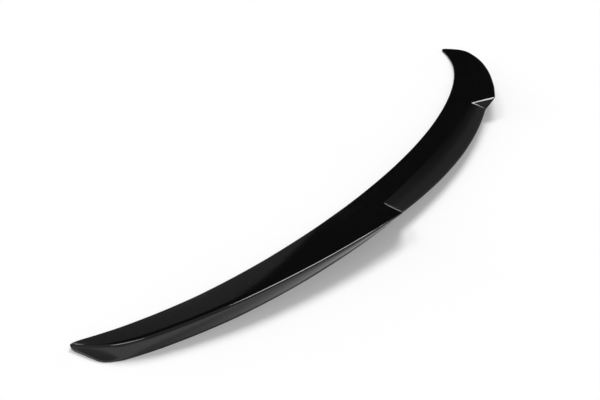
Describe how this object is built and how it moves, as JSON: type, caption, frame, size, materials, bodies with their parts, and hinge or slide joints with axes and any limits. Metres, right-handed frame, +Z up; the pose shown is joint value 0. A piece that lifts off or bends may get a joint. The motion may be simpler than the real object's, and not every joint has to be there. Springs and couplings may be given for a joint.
{
  "type": "car rear spoiler",
  "caption": "Gloss black lip spoiler for a car boot lid: a swept crescent with raised wings beside a recessed middle, hollow and ribbed underneath, with lands for bonding tape.",
  "frame": {"origin": "middle of the flat rear bonding land, on the centre line", "axes": "+X across the car along the span, +Y to the front of the car, +Z up, away from the boot lid"},
  "size_m": [1.211, 0.2335, 0.0393],
  "materials": {
    "gloss_black": "smooth high gloss"
  },
  "bodies": {
    "root": {"spoiler": "gloss_black"}
  },
  "joints": []
}
